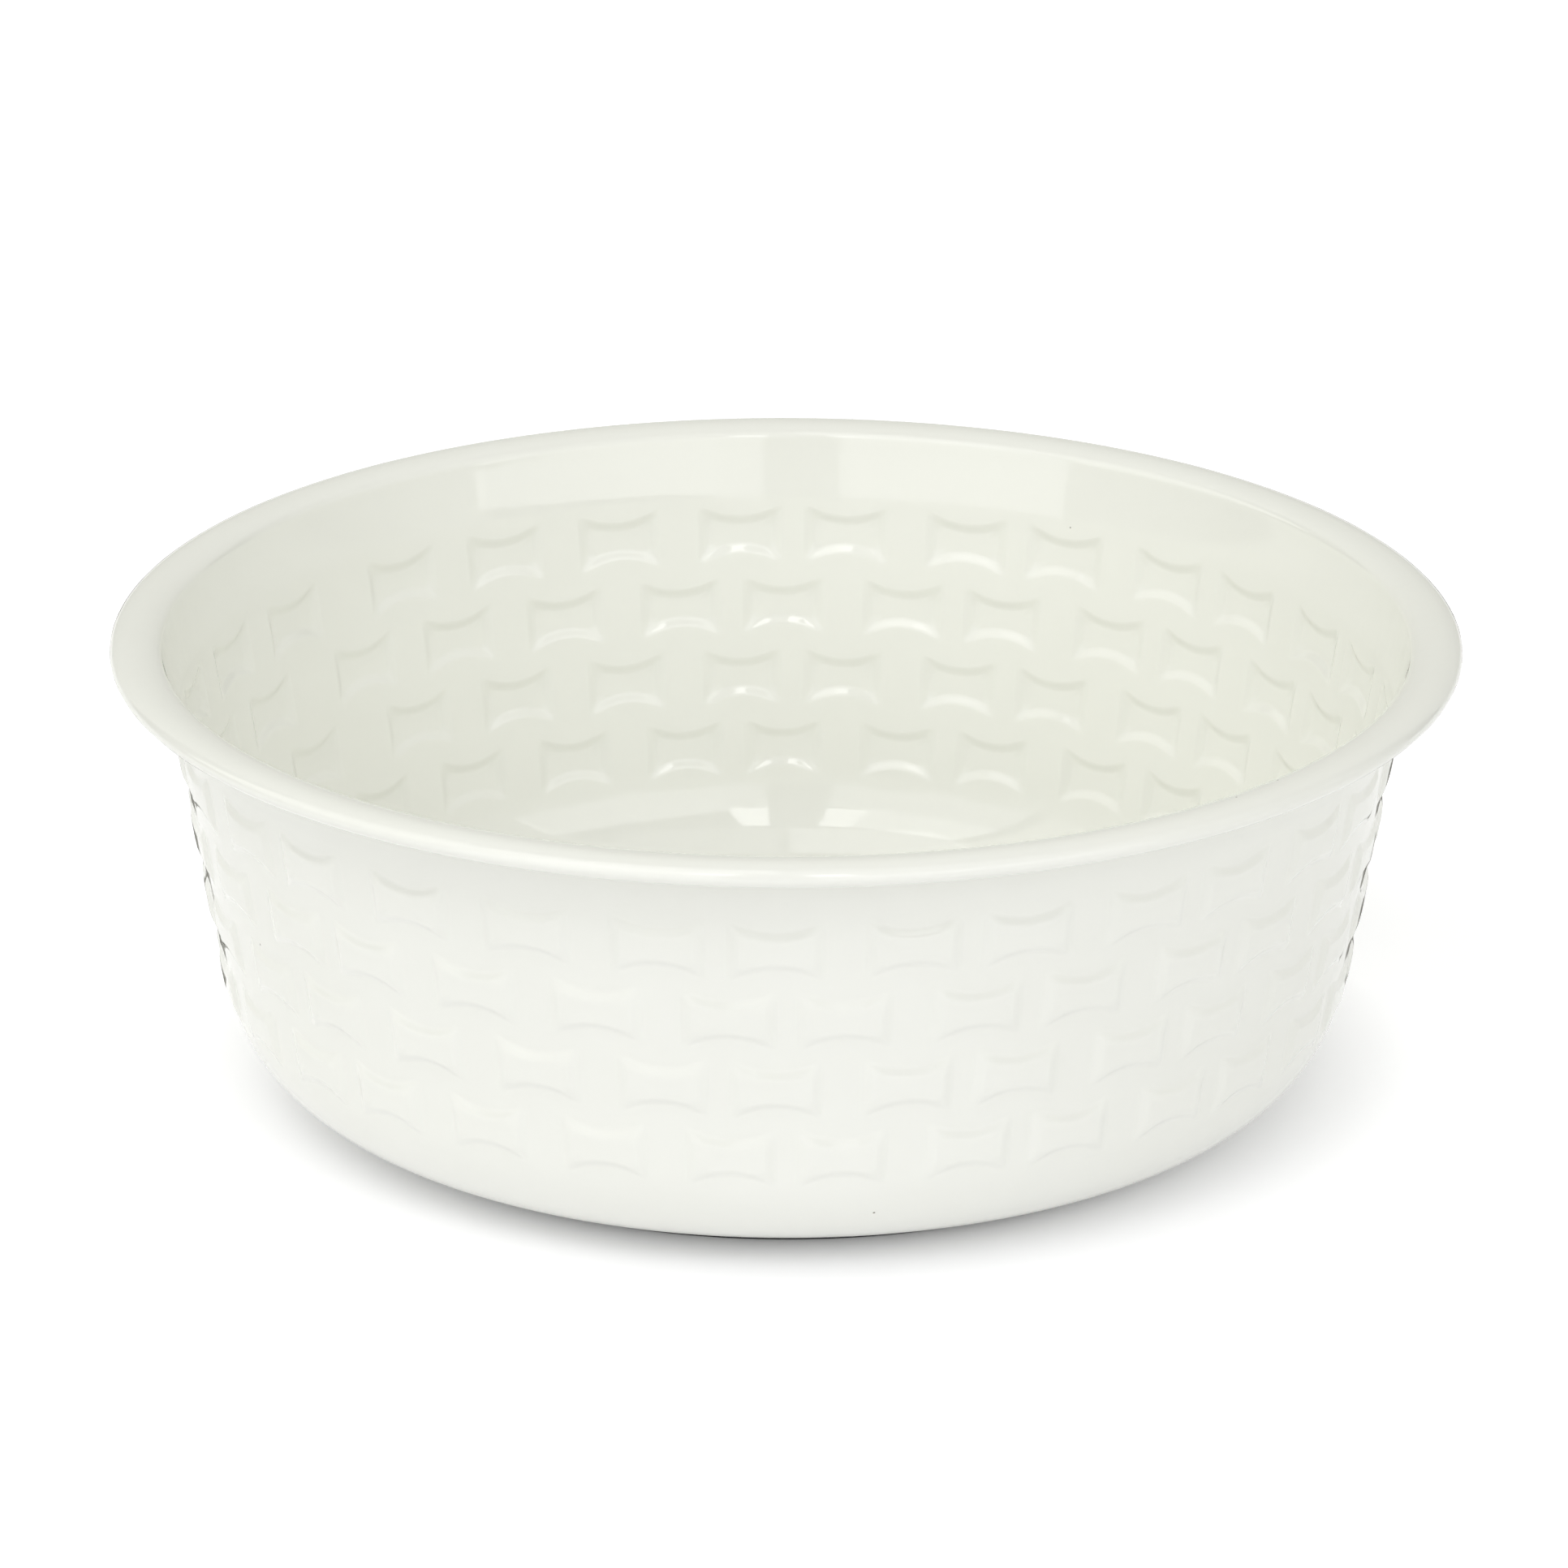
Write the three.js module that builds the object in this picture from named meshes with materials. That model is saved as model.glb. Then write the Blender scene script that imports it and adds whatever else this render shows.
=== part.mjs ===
// Pet bowl: a pressed steel bowl with a rolled rim and an embossed basket weave, on a bonded rubber ring.
// Millimetres, +Z up. The origin lies on the table under the middle of the bowl.

import * as THREE from "three";

// Overall form of the bowl
const RIM_DIAMETER = 210;
const BOWL_HEIGHT = 74.4;
const WALL_TOP_DIAMETER = 190.4; // outside of the wall at the top of the weave
const WALL_FOOT_DIAMETER = 170.1; // outside of the wall, run straight on down to the base
const CORNER_RADIUS = 19.4; // outside rounding between wall and base
const SHEET = 0.8; // steel with its lacquer

// Rolled rim, a flattened curl that is open underneath
const RIM_WIDTH = 8; // from the inside of the wall to the outside of the roll
const RIM_CREST_SETBACK = 3.5; // from the outside of the roll in to the highest line
const RIM_ROLL_HEIGHT = 3.9;
const RIM_SHOULDER_DROP = 2; // from the highest line down to the inside of the wall
const RIM_SLOT = 0.5; // between the raw edge of the curl and the wall

// Base and non-slip ring
const PANEL_RISE = 1.2; // the middle of the base is pressed up
const PANEL_STEP = 3; // width of the slope round the raised middle
const PANEL_MARGIN = 3; // flat left between that slope and the rubber ring
const RING_SETBACK = 0.2; // from the outer edge of the flat base
const RING_WIDTH = 13;
const RING_THICKNESS = 2;
const RING_EDGE = 0.5; // bevel on the edges that meet the table
const RING_GROOVES = 2;
const GROOVE_WIDTH = 1.2;
const GROOVE_DEPTH = 0.6;
const BOND_THICKNESS = 0.2;
const BOND_MARGIN = 1; // the adhesive stops short of both edges of the ring

// Basket weave: rows of bow-tie tiles pressed outwards, every other row turned by about half a tile.
// The tiles of a row stand alone or in pairs, listed from the gap where the weave closes on itself.
const WEAVE_ROWS = 4;
const TILE_GROUPS = [1, 1, 1, 1, 1, 2, 1, 1, 2, 2, 2, 2, 2, 2, 2, 2, 2, 1, 1, 1];
const ROW_TURN = 6.35; // degrees from one row to the next
const RIM_BAND = 11.6; // plain band from the top of the rim down to the weave
const BASE_BAND = 14; // plain band from the base up to the weave
const ROW_GAP = 0.5; // between the feet of two rows, at the flared tile ends
const TILE_GAP = 2.6; // between the feet of two tiles of a pair
const GROUP_EXTRA = 2.9; // added to that between one group of tiles and the next
const TILE_WAIST = 2.1; // how far the middle of a tile's long edges is drawn in, each
const TILE_FLANK = 2.4; // width of the slope round a tile
const RELIEF = 0.65; // how far a tile stands out
const HOLLOW_INSET = 0.2; // the hollows inside are this much smaller all round than the tiles outside
const WEAVE_MARGIN = 0.4; // between the weave and the plain wall above and below it
const SEAM_EXTRA = 5.7; // added again where the weave closes on itself
const SEAM_ANGLE = 140; // degrees round from +X to that gap in the top row

// Facets
const ROUND_SEGMENTS = 60;
const RING_SEGMENTS = 48;
const TILE_COLUMNS = 4;
const CORNER_STEPS = 4;
const ROLL_STEPS = 6;
const SHOULDER_STEPS = 3;
const ROLL_STEPS_INSIDE = 4;
const SHOULDER_STEPS_INSIDE = 2;

const TURN = 2 * Math.PI;
const RIGHT_ANGLE = Math.PI / 2;

// Heights and radii that follow from the sizes above
const baseZ = RING_THICKNESS + BOND_THICKNESS;
const weaveTopZ = BOWL_HEIGHT - RIM_BAND;
const weaveBottomZ = baseZ + BASE_BAND;
const wallFoot = new THREE.Vector2(WALL_FOOT_DIAMETER / 2, baseZ);
const wallTop = new THREE.Vector2(WALL_TOP_DIAMETER / 2, weaveTopZ);
const wallTilt = Math.atan2(wallTop.x - wallFoot.x, wallTop.y - wallFoot.y);
const wallNormal = new THREE.Vector2(Math.cos(wallTilt), -Math.sin(wallTilt));
const cornerCentre = new THREE.Vector2(
  wallFoot.x - (CORNER_RADIUS * (1 - Math.sin(wallTilt))) / Math.cos(wallTilt),
  baseZ + CORNER_RADIUS,
);
const ringOuterRadius = cornerCentre.x - RING_SETBACK;
const ringInnerRadius = ringOuterRadius - RING_WIDTH;
const panelRadius = ringInnerRadius - PANEL_MARGIN;
const groupAngle = GROUP_EXTRA / wallTop.x;
const seamAngle = SEAM_EXTRA / wallTop.x;
const tilesPerRow = TILE_GROUPS.reduce((sum, tiles) => sum + tiles, 0);
const tilePitch = (TURN - TILE_GROUPS.length * groupAngle - seamAngle) / tilesPerRow;

// Radius of the wall at a height, a depth in from its outside face, down into the round of the corner
function wallRadius(z, depth) {
  const corner = CORNER_RADIUS - depth;
  const belowCentre = cornerCentre.y - z;
  if (belowCentre > corner * Math.sin(wallTilt)) {
    return cornerCentre.x + Math.sqrt(corner ** 2 - belowCentre ** 2);
  }
  return wallFoot.x + (z - wallFoot.y) * Math.tan(wallTilt) - depth / Math.cos(wallTilt);
}

// Points of an elliptical arc in the profile plane, both ends included
function arc(centre, radiusX, radiusZ, startAngle, endAngle, steps) {
  const points = [];
  for (let i = 0; i <= steps; i++) {
    const angle = startAngle + ((endAngle - startAngle) * i) / steps;
    points.push(new THREE.Vector2(
      centre.x + radiusX * Math.cos(angle),
      centre.y + radiusZ * Math.sin(angle),
    ));
  }
  return points;
}

// Underside of the bowl from its middle to just below the weave, a depth in from the outside face
function baseProfile(depth) {
  const floorZ = baseZ + depth;
  const corner = CORNER_RADIUS - depth;
  const weaveFoot = Math.asin((cornerCentre.y - weaveBottomZ + WEAVE_MARGIN) / corner);
  const cornerEnd = -Math.max(wallTilt, weaveFoot);
  return [
    new THREE.Vector2(0, floorZ + PANEL_RISE),
    new THREE.Vector2(panelRadius - PANEL_STEP, floorZ + PANEL_RISE),
    new THREE.Vector2(panelRadius, floorZ),
    ...arc(cornerCentre, corner, corner, -RIGHT_ANGLE, cornerEnd, CORNER_STEPS),
  ];
}

// One face of the plain band and the rolled rim, from the weave over the crest to the raw edge.
// depth runs in from the face that shows: the inside of the wall goes over the top of the roll.
function rimProfile(depth, shoulderSteps, rollSteps) {
  const bandZ = weaveTopZ + WEAVE_MARGIN;
  const bandFoot = new THREE.Vector2(wallRadius(bandZ, SHEET - depth), bandZ);
  const crestRadius = RIM_DIAMETER / 2 - RIM_CREST_SETBACK;
  const shoulderWidth = RIM_WIDTH - RIM_CREST_SETBACK;
  const shoulderCentre = new THREE.Vector2(crestRadius, BOWL_HEIGHT - RIM_SHOULDER_DROP);
  const rollHalfHeight = RIM_ROLL_HEIGHT / 2;
  const rollCentre = new THREE.Vector2(crestRadius, BOWL_HEIGHT - rollHalfHeight);
  const shoulder = arc(
    shoulderCentre,
    shoulderWidth - depth,
    RIM_SHOULDER_DROP - depth,
    Math.PI,
    RIGHT_ANGLE,
    shoulderSteps,
  );
  const roll = arc(
    rollCentre,
    RIM_CREST_SETBACK - depth,
    rollHalfHeight - depth,
    RIGHT_ANGLE,
    -RIGHT_ANGLE,
    rollSteps,
  );
  const bandTop = new THREE.Vector2(shoulderCentre.x - shoulderWidth + SHEET, shoulderCentre.y);
  const rawEdgeZ = BOWL_HEIGHT - RIM_ROLL_HEIGHT;
  const upBand = (rawEdgeZ - bandZ) / (bandTop.y - bandZ);
  const rawEdgeRadius = THREE.MathUtils.lerp(wallRadius(bandZ, 0), bandTop.x, upBand) + RIM_SLOT;
  return [
    bandFoot,
    ...shoulder,
    ...roll.slice(1),
    new THREE.Vector2(rawEdgeRadius, rawEdgeZ + depth),
  ];
}

// A closed surface made of loops of points round the axis, joined one to the next.
// Loops follow the skin from the middle of the base up the outside, over the rim and down the inside.
class Skin {
  constructor() {
    this.positions = [];
    this.triangles = [];
    this.lastLoop = null;
  }

  point(radius, z, angle) {
    this.positions.push(radius * Math.cos(angle), radius * Math.sin(angle), z);
    return { index: this.positions.length / 3 - 1, angle };
  }

  triangle(a, b, c) {
    this.triangles.push(a.index, b.index, c.index);
  }

  quad(a, b, c, d) {
    this.triangle(a, b, c);
    this.triangle(a, c, d);
  }

  // Adds a loop and joins it to the loop before by a band of triangles
  addLoop(loop) {
    if (this.lastLoop) {
      this.join(this.lastLoop, loop);
    }
    this.lastLoop = loop;
  }

  // Adds one round loop, or a single point on the axis, for each point of a profile
  addRound(profile) {
    for (const { x: radius, y: z } of profile) {
      const count = radius > 0 ? ROUND_SEGMENTS : 1;
      const loop = [];
      for (let i = 0; i < count; i++) {
        loop.push(this.point(radius, z, (TURN * i) / count));
      }
      this.addLoop(loop);
    }
  }

  // Triangles between two loops, taking the next point round from whichever loop is behind
  join(from, to) {
    const angleOf = (loop, i) => loop[i % loop.length].angle + TURN * Math.floor(i / loop.length);
    const start = from[0].angle;
    const apart = (point) => Math.abs(Math.sin((point.angle - start) / 2));
    const nearest = to.reduce((best, point, i) => (apart(point) < apart(to[best]) ? i : best), 0);
    const wrap = TURN * Math.round((start - to[nearest].angle) / TURN);
    const fromEnd = from.length > 1 ? from.length : 0;
    const toEnd = nearest + (to.length > 1 ? to.length : 0);
    let i = 0;
    let j = nearest;
    while (i < fromEnd || j < toEnd) {
      const fromMiddle = angleOf(from, i) + angleOf(from, i + 1);
      const toMiddle = angleOf(to, j) + angleOf(to, j + 1) + 2 * wrap;
      if (j >= toEnd || (i < fromEnd && fromMiddle <= toMiddle)) {
        this.triangle(from[i % from.length], from[(i + 1) % from.length], to[j % to.length]);
        i += 1;
      } else {
        this.triangle(from[i % from.length], to[(j + 1) % to.length], to[j % to.length]);
        j += 1;
      }
    }
  }

  geometry() {
    const geometry = new THREE.BufferGeometry();
    geometry.setAttribute("position", new THREE.Float32BufferAttribute(this.positions, 3));
    geometry.setIndex(this.triangles);
    geometry.computeVertexNormals();
    return geometry;
  }
}

// Angles of the middles of the tiles in a row, counted from the top
function tileAngles(row) {
  const seam = THREE.MathUtils.degToRad(SEAM_ANGLE + (row % 2) * ROW_TURN);
  let angle = seam + (tilePitch + groupAngle + seamAngle) / 2;
  const angles = [];
  for (const tiles of TILE_GROUPS) {
    for (let tile = 0; tile < tiles; tile++) {
      angles.push(angle);
      angle += tilePitch;
    }
    angle += groupAngle;
  }
  return angles;
}

// One row of tiles on a face of the wall. Both faces go the same way out, so the inside shows hollows.
// heading is 1 where the skin runs up the outside and -1 where it runs down the inside.
function addWeaveRow(skin, row, depth, heading) {
  const rowPitch = (weaveTopZ - weaveBottomZ + ROW_GAP) / WEAVE_ROWS;
  const rowZ = weaveTopZ - (rowPitch - ROW_GAP) / 2 - row * rowPitch;
  const rowRadius = wallRadius(rowZ, 0);
  const shrink = (HOLLOW_INSET * depth) / SHEET;
  const footHalfWidth = (tilePitch * rowRadius - TILE_GAP) / 2 - shrink;
  const footHalfHeight = (rowPitch - ROW_GAP) / 2 - shrink;

  // A line of points across one tile: side is -1 for the edge met first, inset leads in from the foot
  const edge = (middle, side, inset, lift) => {
    const points = [];
    for (let column = 0; column < TILE_COLUMNS; column++) {
      const across = (2 * column) / (TILE_COLUMNS - 1) - 1;
      const drawnIn = TILE_WAIST * (1 - across ** 2);
      const z = rowZ + heading * side * (footHalfHeight - inset - drawnIn);
      const angle = middle + (across * (footHalfWidth - inset)) / rowRadius;
      points.push(skin.point(
        wallRadius(z, depth) + lift * wallNormal.x,
        z + lift * wallNormal.y,
        angle,
      ));
    }
    return points;
  };

  const tiles = tileAngles(row).map((middle) => [
    edge(middle, -1, 0, 0),
    edge(middle, -1, TILE_FLANK, RELIEF),
    edge(middle, 1, TILE_FLANK, RELIEF),
    edge(middle, 1, 0, 0),
  ]);
  const last = TILE_COLUMNS - 1;
  skin.addLoop(tiles.flatMap((tile) => tile[0]));
  tiles.forEach((tile, t) => {
    const next = tiles[(t + 1) % tiles.length];
    for (let line = 0; line < tile.length - 1; line++) {
      for (let column = 0; column < last; column++) {
        skin.quad(
          tile[line][column],
          tile[line][column + 1],
          tile[line + 1][column + 1],
          tile[line + 1][column],
        );
      }
    }
    skin.quad(tile[0][0], tile[1][0], tile[2][0], tile[3][0]);
    skin.quad(tile[1][last], tile[0][last], tile[3][last], tile[2][last]);
    skin.quad(tile[0][last], next[0][0], next[3][0], tile[3][last]);
  });
  skin.lastLoop = tiles.flatMap((tile) => tile[3]);
}

// The pressed bowl, one sheet from the middle of the base to the raw edge of the rim and back
function bowlShellGeometry() {
  const skin = new Skin();
  skin.addRound(baseProfile(0));
  for (let row = WEAVE_ROWS - 1; row >= 0; row--) {
    addWeaveRow(skin, row, 0, 1);
  }
  skin.addRound(rimProfile(SHEET, SHOULDER_STEPS_INSIDE, ROLL_STEPS_INSIDE));
  skin.addRound(rimProfile(0, SHOULDER_STEPS, ROLL_STEPS).reverse());
  for (let row = 0; row < WEAVE_ROWS; row++) {
    addWeaveRow(skin, row, SHEET, -1);
  }
  skin.addRound(baseProfile(SHEET).reverse());
  return skin.geometry();
}

// A closed profile turned round the upright axis
function turnedRing(profile) {
  const points = profile.map(([radius, z]) => new THREE.Vector2(radius, z));
  points.push(points[0].clone());
  return new THREE.LatheGeometry(points, RING_SEGMENTS).rotateX(RIGHT_ANGLE);
}

// Rubber ring, flat on top, with bevelled edges and grip grooves where it meets the table
function nonslipRingGeometry() {
  const grooves = [];
  for (let groove = 1; groove <= RING_GROOVES; groove++) {
    const middle = ringInnerRadius + (RING_WIDTH * groove) / (RING_GROOVES + 1);
    grooves.push(
      [middle - GROOVE_WIDTH / 2, 0],
      [middle - GROOVE_WIDTH / 2, GROOVE_DEPTH],
      [middle + GROOVE_WIDTH / 2, GROOVE_DEPTH],
      [middle + GROOVE_WIDTH / 2, 0],
    );
  }
  return turnedRing([
    [ringInnerRadius, RING_THICKNESS],
    [ringInnerRadius, RING_EDGE],
    [ringInnerRadius + RING_EDGE, 0],
    ...grooves,
    [ringOuterRadius - RING_EDGE, 0],
    [ringOuterRadius, RING_EDGE],
    [ringOuterRadius, RING_THICKNESS],
  ]);
}

// Film of adhesive between the rubber ring and the base
function bondFilmGeometry() {
  const outer = ringOuterRadius - BOND_MARGIN;
  const inner = ringInnerRadius + BOND_MARGIN;
  return turnedRing([
    [inner, baseZ],
    [inner, RING_THICKNESS],
    [outer, RING_THICKNESS],
    [outer, baseZ],
  ]);
}

function namedMesh(name, geometry, material) {
  const mesh = new THREE.Mesh(geometry, material);
  mesh.name = name;
  return mesh;
}

const creamEnamel = new THREE.MeshStandardMaterial({ color: 0xf0f0e6, roughness: 0.15, metalness: 0 });
const blackRubber = new THREE.MeshStandardMaterial({ color: 0x151515, roughness: 0.75, metalness: 0 });
const clearAdhesive = new THREE.MeshStandardMaterial({ color: 0xcfc9b4, roughness: 0.5, metalness: 0 });

const petBowl = new THREE.Group();
petBowl.name = "pet_bowl";
petBowl.add(
  namedMesh("bowl_shell", bowlShellGeometry(), creamEnamel),
  namedMesh("bond_film", bondFilmGeometry(), clearAdhesive),
  namedMesh("nonslip_ring", nonslipRingGeometry(), blackRubber),
);

export default petBowl;
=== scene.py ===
"""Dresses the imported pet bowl: a finely pressed basket-weave shell on a rubber ring, with its studio and camera."""

import math

import bpy
import numpy as np
from mathutils import Matrix, Vector


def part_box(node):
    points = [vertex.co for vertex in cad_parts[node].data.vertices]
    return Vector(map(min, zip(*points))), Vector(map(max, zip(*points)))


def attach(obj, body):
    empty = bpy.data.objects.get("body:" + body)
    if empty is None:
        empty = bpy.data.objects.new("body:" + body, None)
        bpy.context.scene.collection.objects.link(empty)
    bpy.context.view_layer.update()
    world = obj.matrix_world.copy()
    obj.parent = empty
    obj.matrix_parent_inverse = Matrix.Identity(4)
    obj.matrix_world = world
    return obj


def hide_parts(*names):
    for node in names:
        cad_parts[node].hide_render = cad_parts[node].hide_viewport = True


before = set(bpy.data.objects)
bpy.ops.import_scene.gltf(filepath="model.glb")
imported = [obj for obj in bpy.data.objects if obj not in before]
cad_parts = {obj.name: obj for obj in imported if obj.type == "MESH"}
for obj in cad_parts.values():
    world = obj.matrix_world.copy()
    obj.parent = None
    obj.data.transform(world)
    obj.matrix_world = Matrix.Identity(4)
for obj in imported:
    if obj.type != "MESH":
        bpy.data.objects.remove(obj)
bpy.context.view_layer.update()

MM = 0.001
TURN = 2 * math.pi
RIGHT_ANGLE = math.pi / 2

# Sizes in millimetres that the frame gives
shell_low, shell_high = (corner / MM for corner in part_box("bowl_shell"))
ring_low, ring_high = (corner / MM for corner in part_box("nonslip_ring"))
RIM_RADIUS = shell_high.x
BOWL_HEIGHT = shell_high.z
BASE_Z = shell_low.z
RING_RADIUS = ring_high.x
RING_THICKNESS = ring_high.z

# Form of the bowl in millimetres, as in the solids
WALL_TOP_RADIUS = 95.2
WALL_FOOT_RADIUS = 85.05
CORNER_RADIUS = 19.4
SHEET = 0.8
RIM_WIDTH = 8
RIM_CREST_SETBACK = 3.5
RIM_ROLL_HEIGHT = 3.9
RIM_SHOULDER_DROP = 2
RIM_SLOT = 0.5
PANEL_RISE = 1.2
PANEL_STEP = 3
PANEL_MARGIN = 3
RING_WIDTH = 13
RING_EDGE = 0.5
RING_GROOVES = 2
GROOVE_WIDTH = 1.2
GROOVE_DEPTH = 0.6
GROOVE_ROUNDING = 0.2

# Basket weave in millimetres
WEAVE_ROWS = 4
TILE_GROUPS = [1, 1, 1, 1, 1, 2, 1, 1, 2, 2, 2, 2, 2, 2, 2, 2, 2, 1, 1, 1]
ROW_TURN = math.radians(6.35)
RIM_BAND = 11.6
BASE_BAND = 14
ROW_GAP = 0.7
TILE_GAP = 2.6
GROUP_EXTRA = 2.9
TILE_WAIST = 2.1
END_FLANK = 2.2  # width of the slope at the ends of a tile
SIDE_FLANK = 1.9  # width of the slope along its sides
FLANK_ROUNDING = 0.3  # share of a slope that its foot takes, and its top edge
TILE_ROUNDING = 0.8  # how far the corners of a tile are rounded off, in widths of its slope
HOLLOW_INSET = 0.2  # the hollows inside are this much smaller all round than the tiles outside
RELIEF = 0.65
WEAVE_MARGIN = 0.4
SEAM_EXTRA = 5.7
SEAM_ANGLE = math.radians(140)

# Fineness of the meshes
ROUND_SEGMENTS = 264
RING_SEGMENTS = 192
OUTSIDE_FLANK_STEPS = 5
INSIDE_FLANK_STEPS = 5
FACE_COLUMNS = 5
FACE_LINES = 3
GAP_COLUMN = 1.5
CORNER_STEPS = 12
BAND_STEPS = 6
SHOULDER_STEPS = 8
ROLL_STEPS = 16
PANEL_STEPS = 6

# Values that follow from the sizes
weave_top = BOWL_HEIGHT - RIM_BAND
weave_bottom = BASE_Z + BASE_BAND
wall_tilt = math.atan2(WALL_TOP_RADIUS - WALL_FOOT_RADIUS, weave_top - BASE_Z)
corner_x = WALL_FOOT_RADIUS - CORNER_RADIUS * (1 - math.sin(wall_tilt)) / math.cos(wall_tilt)
corner_z = BASE_Z + CORNER_RADIUS
ring_inner_radius = RING_RADIUS - RING_WIDTH
panel_radius = ring_inner_radius - PANEL_MARGIN
group_angle = GROUP_EXTRA / WALL_TOP_RADIUS
seam_angle = SEAM_EXTRA / WALL_TOP_RADIUS
tile_pitch = (TURN - len(TILE_GROUPS) * group_angle - seam_angle) / sum(TILE_GROUPS)
row_pitch = (weave_top - weave_bottom + ROW_GAP) / WEAVE_ROWS


def wall_radius(z, depth):
    """Radius of the wall at a height, a depth in from its outside face, with its foot in the round of the corner."""
    corner = CORNER_RADIUS - depth
    below = corner_z - z
    rounded = corner_x + np.sqrt(np.maximum(corner**2 - below**2, 0))
    straight = WALL_FOOT_RADIUS + (z - BASE_Z) * math.tan(wall_tilt) - depth / math.cos(wall_tilt)
    return np.where(below > corner * math.sin(wall_tilt), rounded, straight)


def arc(centre, radius_x, radius_z, start, end, steps):
    """Points of an elliptical arc in the profile plane, both ends included."""
    angles = np.linspace(start, end, steps + 1)
    return [(centre[0] + radius_x * math.cos(a), centre[1] + radius_z * math.sin(a)) for a in angles]


def bend(start, control, end, steps):
    """Points of a curve that leaves start and reaches end along the lines through control, both ends included."""
    start, control, end = (np.array(point, float) for point in (start, control, end))
    along = np.linspace(0, 1, steps + 1)
    return [tuple((1 - t) ** 2 * start + 2 * t * (1 - t) * control + t**2 * end) for t in along]


def smooth_step(t):
    t = np.clip(t, 0, 1)
    return t * t * (3 - 2 * t)


def slope(t):
    """A straight slope from 0 to 1 with a rounded foot and top edge."""
    t = np.clip(t, 0, 1)
    half = np.minimum(t, 1 - t)
    rise = np.where(half < FLANK_ROUNDING, half**2 / (2 * FLANK_ROUNDING), half - FLANK_ROUNDING / 2)
    rise = rise / (1 - FLANK_ROUNDING)
    return np.where(t < 0.5, rise, 1 - rise)


def base_profile(depth):
    """Underside of the bowl from beside its axis to just below the weave, a depth in from the outside face."""
    floor_z = BASE_Z + depth
    corner = CORNER_RADIUS - depth
    weave_foot = math.asin((corner_z - weave_bottom + WEAVE_MARGIN) / corner)
    panel = []
    for t in np.linspace(0, 1, PANEL_STEPS + 1):
        panel.append((panel_radius - PANEL_STEP * (1 - t), floor_z + PANEL_RISE * (1 - smooth_step(t))))
    return panel + arc((corner_x, corner_z), corner, corner, -RIGHT_ANGLE, -weave_foot, CORNER_STEPS)


def rim_profile(depth):
    """One face of the plain band and the rolled rim, from the weave over the crest to the raw edge."""
    band_z = weave_top + WEAVE_MARGIN
    band_foot = (float(wall_radius(band_z, SHEET - depth)), band_z)
    crest_radius = RIM_RADIUS - RIM_CREST_SETBACK
    shoulder_width = RIM_WIDTH - RIM_CREST_SETBACK
    shoulder_z = BOWL_HEIGHT - RIM_SHOULDER_DROP
    half_roll = RIM_ROLL_HEIGHT / 2
    shoulder = arc(
        (crest_radius, shoulder_z),
        shoulder_width - depth,
        RIM_SHOULDER_DROP - depth,
        math.pi,
        RIGHT_ANGLE,
        SHOULDER_STEPS,
    )
    roll = arc(
        (crest_radius, BOWL_HEIGHT - half_roll),
        RIM_CREST_SETBACK - depth,
        half_roll - depth,
        RIGHT_ANGLE,
        -RIGHT_ANGLE,
        ROLL_STEPS,
    )
    turn_out = (band_foot[0] + WEAVE_MARGIN * 3 * math.tan(wall_tilt), band_z + WEAVE_MARGIN * 3)
    band = bend(band_foot, turn_out, shoulder[0], BAND_STEPS)
    raw_z = BOWL_HEIGHT - RIM_ROLL_HEIGHT
    up_band = (raw_z - band_z) / (shoulder_z - band_z)
    outer_foot = float(wall_radius(band_z, 0))
    outer_top = crest_radius - shoulder_width + SHEET
    raw_radius = outer_foot + (outer_top - outer_foot) * up_band + RIM_SLOT
    return band + shoulder[1:] + roll[1:] + [(raw_radius, raw_z + depth)]


class Skin:
    """A closed surface made of loops of points round the axis, each joined to the loop before."""

    def __init__(self):
        self.points = []
        self.normals = []
        self.faces = []
        self.count = 0
        self.last_start = None
        self.last_angles = None

    def add_loop(self, angles, points, normals):
        start = self.count
        self.points.extend(points)
        self.normals.extend(normals)
        self.count += len(points)
        if self.last_start is not None:
            if len(angles) == len(self.last_angles) and np.allclose(angles, self.last_angles):
                self.add_quads(self.last_start, start, len(angles))
            else:
                self.add_zip(self.last_start, self.last_angles, start, angles)
        self.last_start = start
        self.last_angles = angles

    def add_quads(self, first, second, count):
        for i in range(count):
            j = (i + 1) % count
            self.faces.append((first + i, first + j, second + j, second + i))

    def add_zip(self, first, first_angles, second, second_angles):
        """Triangles between loops that don't match, taking the next point round from whichever loop is behind."""
        n, m = len(first_angles), len(second_angles)
        a = np.append(first_angles, first_angles[0] + TURN)
        b = np.append(second_angles, second_angles[0] + TURN)
        i = j = 0
        while i < n or j < m:
            if j == m or (i < n and a[i] + a[i + 1] <= b[j] + b[j + 1]):
                self.faces.append((first + i, first + (i + 1) % n, second + j % m))
                i += 1
            else:
                self.faces.append((first + i % n, second + (j + 1) % m, second + j))
                j += 1

    def add_round(self, profile):
        """One round loop for each point of a profile. Its normals are left to Blender."""
        angles = np.arange(ROUND_SEGMENTS) * TURN / ROUND_SEGMENTS
        for radius, z in profile:
            points = np.stack([radius * np.cos(angles), radius * np.sin(angles), np.full_like(angles, z)], axis=1)
            self.add_loop(angles, points, np.zeros_like(points))

    def add_lines(self, angles, lines):
        for points, normals in lines:
            self.add_loop(angles, points, normals)

    def close(self, z, first_loop):
        """Closes the first or the last loop with a point on the axis."""
        tip = self.count
        self.points.append((0, 0, z))
        self.normals.append((0, 0, 0))
        self.count += 1
        start = 0 if first_loop else self.last_start
        for i in range(ROUND_SEGMENTS):
            j = (i + 1) % ROUND_SEGMENTS
            self.faces.append((tip, start + j, start + i) if first_loop else (tip, start + i, start + j))


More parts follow.
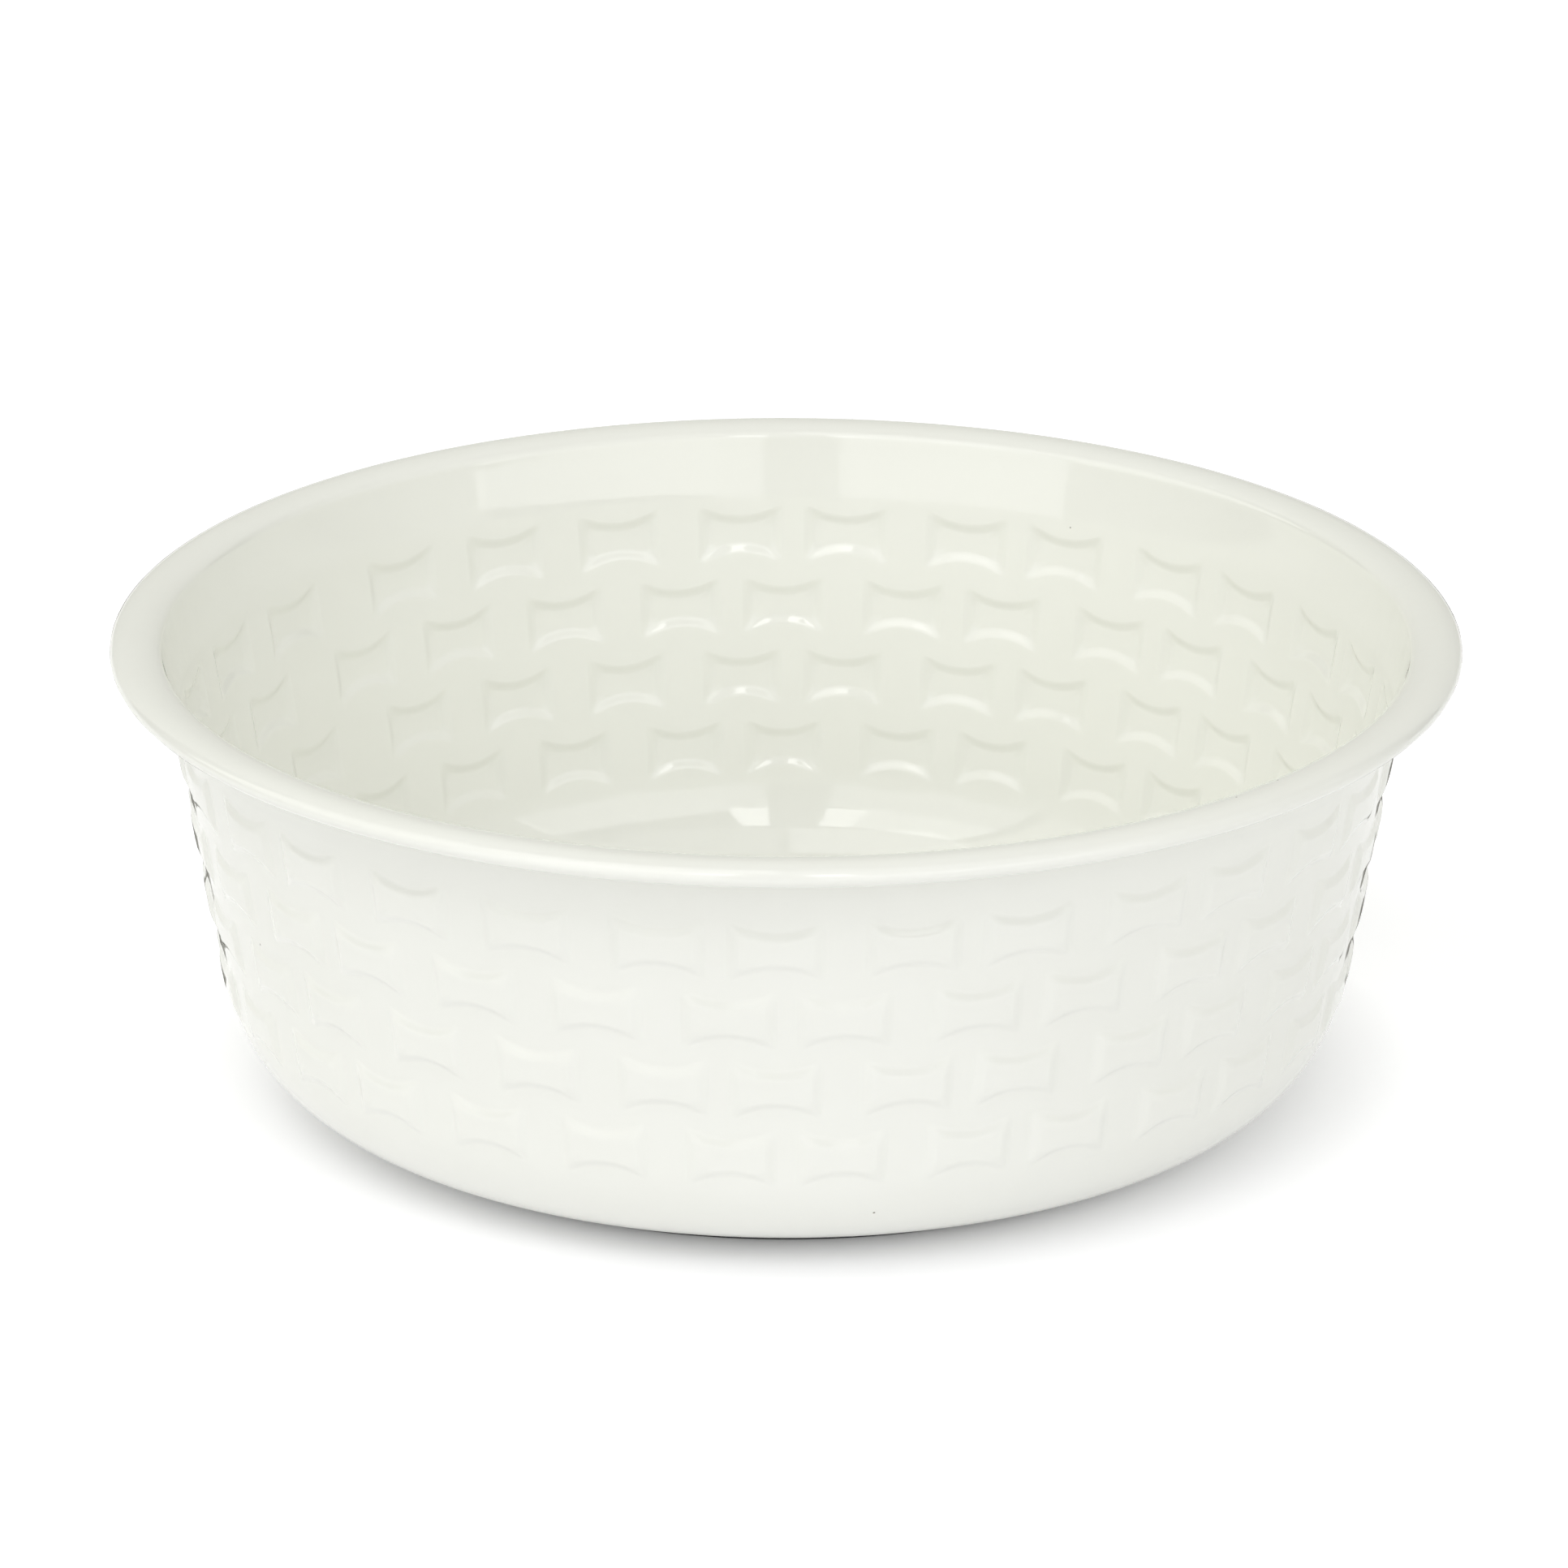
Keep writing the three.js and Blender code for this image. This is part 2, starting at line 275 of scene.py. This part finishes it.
def tile_angles(row):
    """Angles of the middles of the tiles in a row, counted from the top."""
    angle = SEAM_ANGLE + (row % 2) * ROW_TURN + (tile_pitch + group_angle + seam_angle) / 2
    angles = []
    for tiles in TILE_GROUPS:
        for _ in range(tiles):
            angles.append(angle)
            angle += tile_pitch
        angle += group_angle
    return np.array(angles)


def tile_edge(u, half_width, half_height):
    """Half the height of a bow-tie tile at a distance across it."""
    across = np.clip(np.abs(u) / half_width, 0, 1)
    return half_height - TILE_WAIST * (1 - across**2)


def tile_relief(u, v, half_width, half_height):
    """How far a tile stands out at a place across and up it, with sloping flanks and rounded corners."""
    end = (half_width - np.abs(u)) / END_FLANK
    side = (tile_edge(u, half_width, half_height) - np.abs(v)) / SIDE_FLANK
    overlap = np.clip(TILE_ROUNDING - np.abs(end - side), 0, None)
    inset = np.minimum(end, side) - overlap**2 / (4 * TILE_ROUNDING)
    return RELIEF * slope(inset)


def weave_row(row, depth, flank_steps):
    """The angles of one row's columns, and its lines of points and normals from its lower edge to its upper one."""
    row_z = weave_top - (row_pitch - ROW_GAP) / 2 - row * row_pitch
    row_radius = float(wall_radius(row_z, 0))
    inset = HOLLOW_INSET if depth else 0
    half_width = (tile_pitch * row_radius - TILE_GAP) / 2 - inset
    half_height = (row_pitch - ROW_GAP) / 2 - inset

    flank = np.linspace(0, 1, flank_steps + 1)
    end_flank, side_flank = flank * END_FLANK, flank * SIDE_FLANK
    face_half_width = half_width - END_FLANK
    face = np.linspace(-face_half_width, face_half_width, FACE_COLUMNS + 2)[1:-1]
    tile_columns = np.concatenate([end_flank - half_width, face, half_width - end_flank[::-1]])
    middles, across = [], []
    tiles = tile_angles(row)
    for middle, following in zip(tiles, np.append(tiles[1:], tiles[0] + TURN)):
        gap = (following - middle) * row_radius - 2 * half_width
        gap_columns = half_width + gap * np.linspace(0, 1, max(3, round(gap / GAP_COLUMN)))[1:-1]
        columns = np.concatenate([tile_columns, gap_columns])
        middles.append(np.full_like(columns, middle))
        across.append(columns)
    middles, across = np.concatenate(middles), np.concatenate(across)
    order = np.argsort((middles + across / row_radius) % TURN)
    middles, across = middles[order], across[order]

    def place(u, v):
        angle = middles + u / row_radius
        lift = tile_relief(u, v, half_width, half_height)
        radius = wall_radius(row_z + v, depth) + lift * math.cos(wall_tilt)
        z = row_z + v - lift * math.sin(wall_tilt)
        return np.stack([radius * np.cos(angle), radius * np.sin(angle), z], axis=1)

    edge = tile_edge(across, half_width, half_height)
    heights = [up - edge for up in side_flank]
    for share in np.linspace(-1, 1, FACE_LINES + 2)[1:-1]:
        heights.append(share * (edge - SIDE_FLANK))
    heights += [edge - down for down in side_flank[::-1]]
    step = 0.01
    lines = []
    for v in heights:
        along = place(across + step, v) - place(across - step, v)
        up = place(across, v + step) - place(across, v - step)
        normals = np.cross(along, up)
        normals /= np.linalg.norm(normals, axis=1, keepdims=True)
        lines.append((place(across, v), normals))
    return (middles + across / row_radius) % TURN, lines


def new_object(name, points, faces):
    mesh = bpy.data.meshes.new(name)
    mesh.from_pydata([tuple(p) for p in np.array(points) * MM], [], faces)
    mesh.shade_smooth()
    piece = bpy.data.objects.new(name, mesh)
    bpy.context.scene.collection.objects.link(piece)
    return piece


def bowl_shell():
    """The pressed bowl, one sheet from the middle of the base to the raw edge of the rim and back."""
    skin = Skin()
    skin.add_round(base_profile(0))
    skin.close(BASE_Z + PANEL_RISE, True)
    for row in reversed(range(WEAVE_ROWS)):
        angles, lines = weave_row(row, 0, OUTSIDE_FLANK_STEPS)
        skin.add_lines(angles, lines)
    skin.add_round(rim_profile(SHEET))
    skin.add_round(reversed(rim_profile(0)))
    for row in range(WEAVE_ROWS):
        angles, lines = weave_row(row, SHEET, INSIDE_FLANK_STEPS)
        skin.add_lines(angles, [(points, -normals) for points, normals in reversed(lines)])
    skin.add_round(reversed(base_profile(SHEET)))
    skin.close(BASE_Z + SHEET + PANEL_RISE, False)
    piece = new_object("pressed_bowl", skin.points, skin.faces)
    piece.data.normals_split_custom_set_from_vertices([tuple(n) for n in skin.normals])
    return piece


def round_corners(profile, radii, steps=4):
    """A closed profile with each corner bent round, over the distance given for it."""
    rounded = []
    for i, corner in enumerate(profile):
        corner = np.array(corner, float)
        before = np.array(profile[i - 1], float)
        after = np.array(profile[(i + 1) % len(profile)], float)
        start = corner + (before - corner) * radii[i] / np.linalg.norm(before - corner)
        end = corner + (after - corner) * radii[i] / np.linalg.norm(after - corner)
        rounded += bend(start, corner, end, steps)
    return rounded


def rubber_ring():
    """Rubber ring, flat on top, with rounded edges and grip grooves where it meets the table."""
    top_edge = GROOVE_ROUNDING
    profile = [(ring_inner_radius, RING_THICKNESS), (ring_inner_radius, 0)]
    radii = [top_edge, RING_EDGE]
    for groove in range(1, RING_GROOVES + 1):
        middle = ring_inner_radius + RING_WIDTH * groove / (RING_GROOVES + 1)
        left, right = middle - GROOVE_WIDTH / 2, middle + GROOVE_WIDTH / 2
        profile += [(left, 0), (left, GROOVE_DEPTH), (right, GROOVE_DEPTH), (right, 0)]
        radii += [GROOVE_ROUNDING] * 4
    profile += [(RING_RADIUS, 0), (RING_RADIUS, RING_THICKNESS)]
    radii += [RING_EDGE, top_edge]
    outline = round_corners(profile, radii)
    angles = np.arange(RING_SEGMENTS) * TURN / RING_SEGMENTS
    points, faces = [], []
    for i, (radius, z) in enumerate(outline):
        points.extend(np.stack([radius * np.cos(angles), radius * np.sin(angles), np.full_like(angles, z)], axis=1))
        following = (i + 1) % len(outline)
        for j in range(RING_SEGMENTS):
            k = (j + 1) % RING_SEGMENTS
            faces.append((
                i * RING_SEGMENTS + j,
                i * RING_SEGMENTS + k,
                following * RING_SEGMENTS + k,
                following * RING_SEGMENTS + j,
            ))
    return new_object("rubber_ring", points, faces)


def new_material(name):
    material = bpy.data.materials.new(name)
    material.use_nodes = True
    material.node_tree.nodes.clear()
    return material, material.node_tree.nodes, material.node_tree.links


def add_node(nodes, kind, **settings):
    """A new node: a setting that names an input socket goes there, and any other is a property of the node."""
    node = nodes.new(kind)
    for name, value in settings.items():
        socket = name.replace("_", " ").title()
        if socket in node.inputs:
            node.inputs[socket].default_value = value
        else:
            setattr(node, name, value)
    return node


def enamel():
    """Glossy cream enamel with the faint waviness, tint and specks of a sprayed coat."""
    material, nodes, links = new_material("cream_enamel")
    output = nodes.new("ShaderNodeOutputMaterial")
    shader = add_node(nodes, "ShaderNodeBsdfPrincipled", roughness=0.045)
    links.new(shader.outputs["BSDF"], output.inputs["Surface"])
    place = nodes.new("ShaderNodeTexCoord").outputs["Object"]

    tint_noise = add_node(nodes, "ShaderNodeTexNoise", scale=28, detail=3)
    tint = nodes.new("ShaderNodeValToRGB")
    tint.color_ramp.elements[0].position = 0.3
    tint.color_ramp.elements[0].color = (0.922, 0.928, 0.872, 1)
    tint.color_ramp.elements[1].position = 0.7
    tint.color_ramp.elements[1].color = (0.936, 0.943, 0.89, 1)
    links.new(place, tint_noise.inputs["Vector"])
    links.new(tint_noise.outputs["Fac"], tint.inputs["Fac"])

    speck_cells = add_node(nodes, "ShaderNodeTexVoronoi", scale=150)
    speck_size = add_node(nodes, "ShaderNodeMapRange", from_min=0.02, from_max=0.035, to_min=1, to_max=0)
    speck_pick = add_node(nodes, "ShaderNodeMath", operation="GREATER_THAN")
    speck_pick.inputs[1].default_value = 0.93
    speck = add_node(nodes, "ShaderNodeMath", operation="MULTIPLY")
    split = nodes.new("ShaderNodeSeparateColor")
    links.new(place, speck_cells.inputs["Vector"])
    links.new(speck_cells.outputs["Distance"], speck_size.inputs["Value"])
    links.new(speck_cells.outputs["Color"], split.inputs["Color"])
    links.new(split.outputs["Red"], speck_pick.inputs[0])
    links.new(speck_size.outputs["Result"], speck.inputs[0])
    links.new(speck_pick.outputs["Value"], speck.inputs[1])
    specked = add_node(nodes, "ShaderNodeMix", data_type="RGBA")
    mix_colours = [socket for socket in specked.inputs if socket.type == "RGBA"]
    links.new(speck.outputs["Value"], specked.inputs["Factor"])
    links.new(tint.outputs["Color"], mix_colours[0])
    mix_colours[1].default_value = (0.25, 0.23, 0.19, 1)
    mixed = [socket for socket in specked.outputs if socket.type == "RGBA"]
    links.new(mixed[0], shader.inputs["Base Color"])

    peel_noise = add_node(nodes, "ShaderNodeTexNoise", scale=260, detail=2)
    peel = add_node(nodes, "ShaderNodeBump", strength=0.04, distance=0.0004)
    links.new(place, peel_noise.inputs["Vector"])
    links.new(peel_noise.outputs["Fac"], peel.inputs["Height"])
    links.new(peel.outputs["Normal"], shader.inputs["Normal"])
    return material


def rubber():
    """Matt black moulded rubber with a fine grain and a little dust."""
    material, nodes, links = new_material("black_rubber")
    output = nodes.new("ShaderNodeOutputMaterial")
    shader = nodes.new("ShaderNodeBsdfPrincipled")
    links.new(shader.outputs["BSDF"], output.inputs["Surface"])
    place = nodes.new("ShaderNodeTexCoord").outputs["Object"]
    dust = add_node(nodes, "ShaderNodeTexNoise", scale=140, detail=5)
    colour = nodes.new("ShaderNodeValToRGB")
    colour.color_ramp.elements[0].position = 0.35
    colour.color_ramp.elements[0].color = (0.012, 0.012, 0.012, 1)
    colour.color_ramp.elements[1].position = 0.75
    colour.color_ramp.elements[1].color = (0.03, 0.03, 0.029, 1)
    roughness = add_node(nodes, "ShaderNodeMapRange", to_min=0.62, to_max=0.85)
    links.new(place, dust.inputs["Vector"])
    links.new(dust.outputs["Fac"], colour.inputs["Fac"])
    links.new(colour.outputs["Color"], shader.inputs["Base Color"])
    links.new(dust.outputs["Fac"], roughness.inputs["Value"])
    links.new(roughness.outputs["Result"], shader.inputs["Roughness"])
    grain = add_node(nodes, "ShaderNodeTexNoise", scale=1800, detail=3)
    bump = add_node(nodes, "ShaderNodeBump", strength=0.35, distance=0.0001)
    links.new(place, grain.inputs["Vector"])
    links.new(grain.outputs["Fac"], bump.inputs["Height"])
    links.new(bump.outputs["Normal"], shader.inputs["Normal"])
    return material


def adhesive():
    """Cured adhesive, yellowish and uneven."""
    material, nodes, links = new_material("cured_adhesive")
    output = nodes.new("ShaderNodeOutputMaterial")
    shader = add_node(nodes, "ShaderNodeBsdfPrincipled", roughness=0.45)
    links.new(shader.outputs["BSDF"], output.inputs["Surface"])
    place = nodes.new("ShaderNodeTexCoord").outputs["Object"]
    streaks = add_node(nodes, "ShaderNodeTexNoise", scale=90, detail=4)
    colour = nodes.new("ShaderNodeValToRGB")
    colour.color_ramp.elements[0].color = (0.4, 0.37, 0.27, 1)
    colour.color_ramp.elements[1].color = (0.62, 0.58, 0.45, 1)
    links.new(place, streaks.inputs["Vector"])
    links.new(streaks.outputs["Fac"], colour.inputs["Fac"])
    links.new(colour.outputs["Color"], shader.inputs["Base Color"])
    return material


def white_floor():
    """Diffuse floor that the camera and reflections see lifted to white, with the bowl's real shadow left on it; the
    lift fades out near the bowl, which paints a darker contact shadow round its foot.
    """
    material, nodes, links = new_material("white_floor")
    output = nodes.new("ShaderNodeOutputMaterial")
    diffuse = nodes.new("ShaderNodeBsdfDiffuse")
    diffuse.inputs["Color"].default_value = (0.83, 0.83, 0.85, 1)
    lift = nodes.new("ShaderNodeEmission")
    total = nodes.new("ShaderNodeAddShader")
    place = nodes.new("ShaderNodeTexCoord").outputs["Object"]
    distance = add_node(nodes, "ShaderNodeVectorMath", operation="LENGTH")
    # The lift fades to nothing near the bowl, painting a darker shadow round its foot
    painted_shadow_fade = add_node(nodes, "ShaderNodeMapRange", from_min=LIFT_START, from_max=LIFT_FULL, to_max=FLOOR_LIFT)
    path = nodes.new("ShaderNodeLightPath")
    seen = add_node(nodes, "ShaderNodeMath", operation="MAXIMUM")
    seen_through = add_node(nodes, "ShaderNodeMath", operation="MAXIMUM")
    strength = add_node(nodes, "ShaderNodeMath", operation="MULTIPLY")
    links.new(place, distance.inputs[0])
    links.new(distance.outputs["Value"], painted_shadow_fade.inputs["Value"])
    links.new(path.outputs["Is Camera Ray"], seen.inputs[0])
    links.new(path.outputs["Is Glossy Ray"], seen.inputs[1])
    links.new(seen.outputs["Value"], seen_through.inputs[0])
    links.new(path.outputs["Is Transmission Ray"], seen_through.inputs[1])
    links.new(seen_through.outputs["Value"], strength.inputs[0])
    links.new(painted_shadow_fade.outputs["Result"], strength.inputs[1])
    links.new(strength.outputs["Value"], lift.inputs["Strength"])
    links.new(diffuse.outputs["BSDF"], total.inputs[0])
    links.new(lift.outputs["Emission"], total.inputs[1])
    links.new(total.outputs["Shader"], output.inputs["Surface"])
    return material


def reflection_only_card():
    """Matt dark card, seen only in reflections, where it paints dark reflections."""
    material, nodes, links = new_material("reflection_only_card")
    output = nodes.new("ShaderNodeOutputMaterial")
    diffuse = nodes.new("ShaderNodeBsdfDiffuse")
    diffuse.inputs["Color"].default_value = (0.12, 0.115, 0.1, 1)
    links.new(diffuse.outputs["BSDF"], output.inputs["Surface"])
    return material


# Studio, in metres and degrees; azimuth is counted from the camera's side, to its right
FLOOR_SIZE = 12
FLOOR_LIFT = 0.5
LIFT_START = 0.06  # the lift fades out towards the bowl, from this distance to the axis, painting a darker shadow round its foot
LIFT_FULL = 0.101
# Cards on the floor seen only in reflections, painting dark reflections along the bowl's sides
FLAG_INNER = 0.086
FLAG_NEAR_EDGE = 0.1
FLAG_FAR_EDGE = 0.22
FLAG_FRONT = 0.03
FLAG_BACK = 0.45
FLAG_HEIGHT = 0.0005
WHITE = (1, 1, 1)
WARM = (1, 1, 0.92)
WORLD_STRENGTH = 0.06
SOFTBOX_DISTANCE = 1.5
SOFTBOXES = {
    "front_left_low": {"azimuth": -33, "width": 1.25, "bottom": 0.05, "top": 1.35, "radiance": 1.25, "colour": WHITE},
    "front_left": {"azimuth": -38, "width": 0.95, "bottom": 1.35, "top": 2.7, "radiance": 2.1, "colour": WHITE},
    "strip_left": {"azimuth": -15.5, "width": 0.27, "bottom": 1.35, "top": 2.7, "radiance": 3.8, "colour": WHITE},
    "strip_low": {"azimuth": 9.4, "width": 0.25, "bottom": 0.03, "top": 1.35, "radiance": 1.25, "colour": WHITE},
    "strip": {"azimuth": 9.4, "width": 0.25, "bottom": 1.35, "top": 2.7, "radiance": 4.2, "colour": WHITE},
    "front_right": {"azimuth": 38, "width": 1.34, "bottom": 0.3, "top": 1.6, "radiance": 1.55, "colour": WHITE},
    "side_left": {"azimuth": -88, "width": 1.6, "bottom": 0.45, "top": 3.2, "radiance": 1.25, "colour": WARM},
    "side_right": {"azimuth": 90, "width": 1.73, "bottom": 0.03, "top": 3.2, "radiance": 0.58, "colour": WARM},
    "back": {"azimuth": 180, "width": 3.0, "bottom": 0.03, "top": 3.2, "radiance": 0.58, "colour": WARM},
}
OVERHEAD_HEIGHT = 1.7
OVERHEADS = {
    "top_left": {"x": -0.42, "y": -0.35, "width": 0.8, "depth": 0.9, "radiance": 1.5},
    "top_right": {"x": 0.42, "y": -0.35, "width": 0.8, "depth": 0.9, "radiance": 0.6},
}
TABLE_SIZE = 1.8
TABLE_RADIANCE = 0.125
CAMERA_DISTANCE = 1.47
CAMERA_ELEVATION = math.radians(20.61)
CAMERA_ROLL = math.radians(0.1)
CAMERA_TARGET = Vector((-0.0003, 0, 0.0481))
CAMERA_LENS = 215.7


def add_stage_sheet(name, corners, z, material):
    """A level sheet with these corners, for the studio."""
    mesh = bpy.data.meshes.new(name)
    mesh.from_pydata([(x, y, z) for x, y in corners], [], [range(len(corners))])
    mesh.materials.append(material)
    sheet = bpy.data.objects.new(name, mesh)
    bpy.context.scene.collection.objects.link(sheet)
    return sheet


def add_floor():
    half = FLOOR_SIZE / 2
    add_stage_sheet("floor", [(-half, -half), (half, -half), (half, half), (-half, half)], 0, white_floor())


def add_flags():
    """Dark cards behind both sides of the bowl, seen only in its reflections, which paint dark reflections along its
    sides.
    """
    card = reflection_only_card()
    for name, side in (("flag_left", -1), ("flag_right", 1)):
        near = [(side * FLAG_INNER, FLAG_FRONT), (side * FLAG_NEAR_EDGE, FLAG_FRONT)]
        far = [(side * FLAG_FAR_EDGE, FLAG_BACK), (side * FLAG_INNER, FLAG_BACK)]
        flag = add_stage_sheet(name, near + far, FLAG_HEIGHT, card)
        flag.visible_camera = False
        flag.visible_diffuse = False
        flag.visible_shadow = False


def add_lamp(name, width, height, radiance, location, back, colour=WHITE):
    """A rectangular lamp at a place, which shines away from the direction back."""
    lamp = bpy.data.lights.new(name, "AREA")
    lamp.shape = "RECTANGLE"
    lamp.size = width
    lamp.size_y = height
    lamp.energy = radiance * math.pi * width * height
    lamp.color = colour
    softbox = bpy.data.objects.new(name, lamp)
    softbox.location = location
    softbox.rotation_euler = back.to_track_quat("Z", "Y").to_euler()
    bpy.context.scene.collection.objects.link(softbox)
    return softbox


def add_softbox(name, azimuth, width, bottom, top, radiance, colour):
    """An upright lamp that faces the bowl's axis."""
    azimuth = math.radians(azimuth)
    back = Vector((math.sin(azimuth), -math.cos(azimuth), 0))
    middle = SOFTBOX_DISTANCE * back + Vector((0, 0, (bottom + top) / 2))
    add_lamp(name, width, top - bottom, radiance, middle, back, colour)


def add_overhead(name, x, y, width, depth, radiance):
    """A level lamp above the bowl."""
    add_lamp(name, width, depth, radiance, Vector((x, y, OVERHEAD_HEIGHT)), Vector((0, 0, 1)))


def add_table():
    """A lamp level with the floor, for the light that a bright table throws up, which pictures don't show."""
    down = Vector((0, 0, -1))
    table = add_lamp("table", TABLE_SIZE, TABLE_SIZE, TABLE_RADIANCE, -0.001 * down, down)
    table.visible_camera = False
    table.visible_glossy = False


def add_world():
    world = bpy.data.worlds.new("studio")
    world.use_nodes = True
    background = world.node_tree.nodes["Background"]
    background.inputs["Color"].default_value = (*WHITE, 1)
    background.inputs["Strength"].default_value = WORLD_STRENGTH
    bpy.context.scene.world = world


def add_camera():
    lens = bpy.data.cameras.new("camera")
    lens.lens = CAMERA_LENS
    lens.clip_end = 50
    camera = bpy.data.objects.new("camera", lens)
    back = Vector((0, -math.cos(CAMERA_ELEVATION), math.sin(CAMERA_ELEVATION)))
    facing = Matrix.Rotation(RIGHT_ANGLE - CAMERA_ELEVATION, 4, "X") @ Matrix.Rotation(CAMERA_ROLL, 4, "Z")
    camera.matrix_world = Matrix.Translation(CAMERA_TARGET + CAMERA_DISTANCE * back) @ facing
    bpy.context.scene.collection.objects.link(camera)
    bpy.context.scene.camera = camera


def dress(piece, node, material):
    """Puts a finished piece in the place of a CAD node."""
    piece.data.materials.append(material)
    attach(piece, "root")
    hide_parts(node)


dress(bowl_shell(), "bowl_shell", enamel())
dress(rubber_ring(), "nonslip_ring", rubber())
bond_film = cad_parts["bond_film"]
for material_slot in bond_film.material_slots:
    material_slot.material = adhesive()

add_floor()
add_flags()
add_world()
for softbox_name, softbox_place in SOFTBOXES.items():
    add_softbox(softbox_name, **softbox_place)
for lamp_name, lamp_place in OVERHEADS.items():
    add_overhead(lamp_name, **lamp_place)
add_table()
add_camera()
bpy.context.scene.view_settings.view_transform = "Standard"
